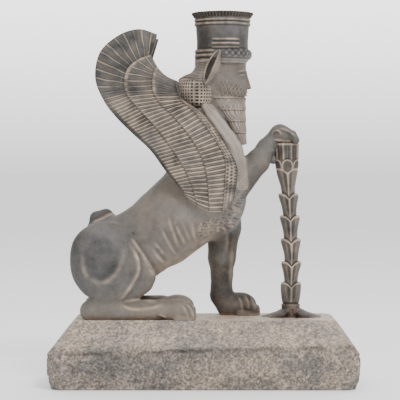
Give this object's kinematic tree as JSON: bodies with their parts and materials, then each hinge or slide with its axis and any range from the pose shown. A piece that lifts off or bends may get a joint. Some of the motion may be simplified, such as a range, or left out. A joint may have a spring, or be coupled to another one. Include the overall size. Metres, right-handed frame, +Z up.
{
  "type": "human-headed winged lion statue",
  "caption": "Carved stone sphinx: seated winged lion with a bearded, crowned human head and one paw on a lotus staff, on a rough-hewn plinth.",
  "frame": {"origin": "middle of the plinth's underside, at the centre of the object's plan and on the surface it stands on", "axes": "+Z up; +X the way the animal faces, along the plinth's long side; +Y the animal's left"},
  "size_m": [0.2464, 0.1054, 0.2994],
  "materials": {
    "stone": "weathered grey stone, satin on the figure and rough on the plinth, with pale dust in the carving"
  },
  "bodies": {
    "root": {"winged_lion_statue": "stone"}
  },
  "joints": []
}
